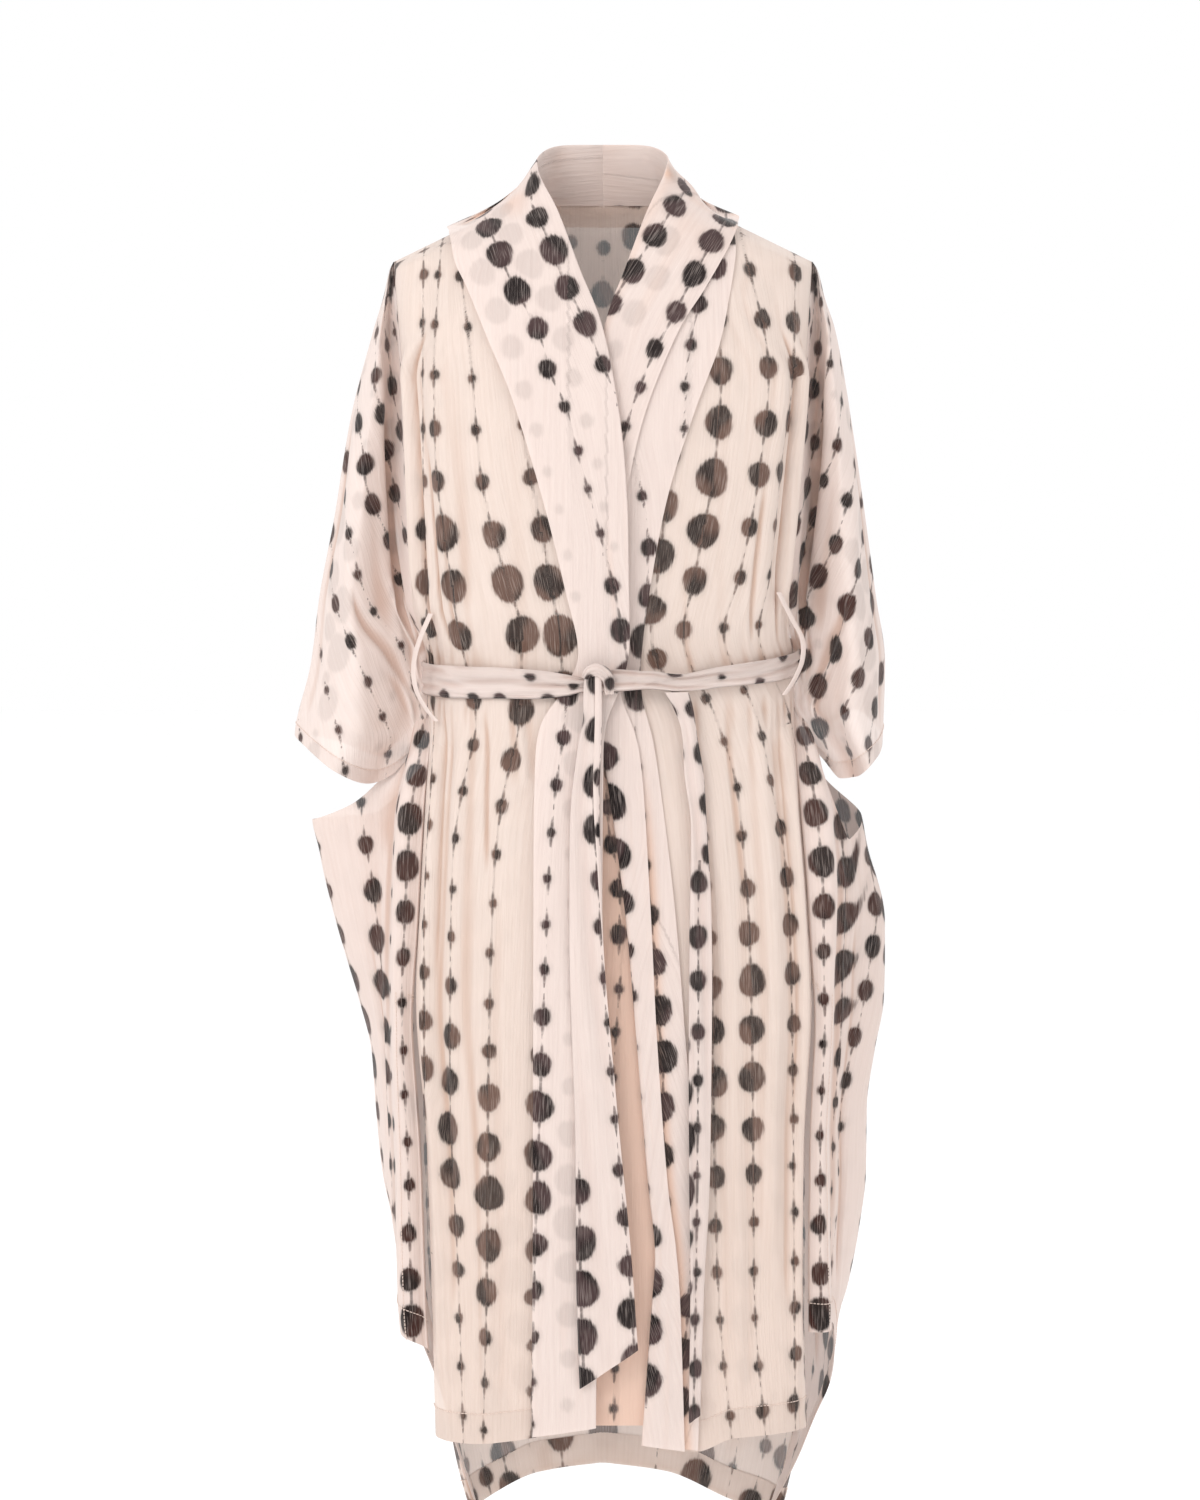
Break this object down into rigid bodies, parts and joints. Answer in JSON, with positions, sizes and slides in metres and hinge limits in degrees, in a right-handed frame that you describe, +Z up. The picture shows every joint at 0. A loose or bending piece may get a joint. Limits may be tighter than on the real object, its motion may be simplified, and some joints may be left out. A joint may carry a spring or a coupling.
{
  "type": "duster coat",
  "caption": "Sheer knee-length duster coat as worn, with a folded shawl band, wide elbow-length sleeves, side drapes over side vents, a longer back and a loose tie belt.",
  "frame": {"origin": "centre of the neck opening, level with the top of the shoulders", "axes": "+X towards the wearer's left, -Y towards the front, +Z up"},
  "size_m": [0.5342, 0.3069, 1.2746],
  "materials": {
    "sheer_cloth": "crinkled sheer chiffon, matte",
    "doubled_cloth": "the same chiffon folded double, matte"
  },
  "bodies": {
    "root": {"back": "sheer_cloth", "right_front": "sheer_cloth", "left_front": "sheer_cloth", "right_sleeve": "sheer_cloth", "left_sleeve": "sheer_cloth", "right_side": "sheer_cloth", "left_side": "sheer_cloth", "right_band": "doubled_cloth", "left_band": "doubled_cloth", "belt": "doubled_cloth", "belt_knot": "doubled_cloth", "right_tail": "doubled_cloth", "left_tail": "doubled_cloth", "right_loop": "doubled_cloth", "left_loop": "doubled_cloth"}
  },
  "joints": []
}
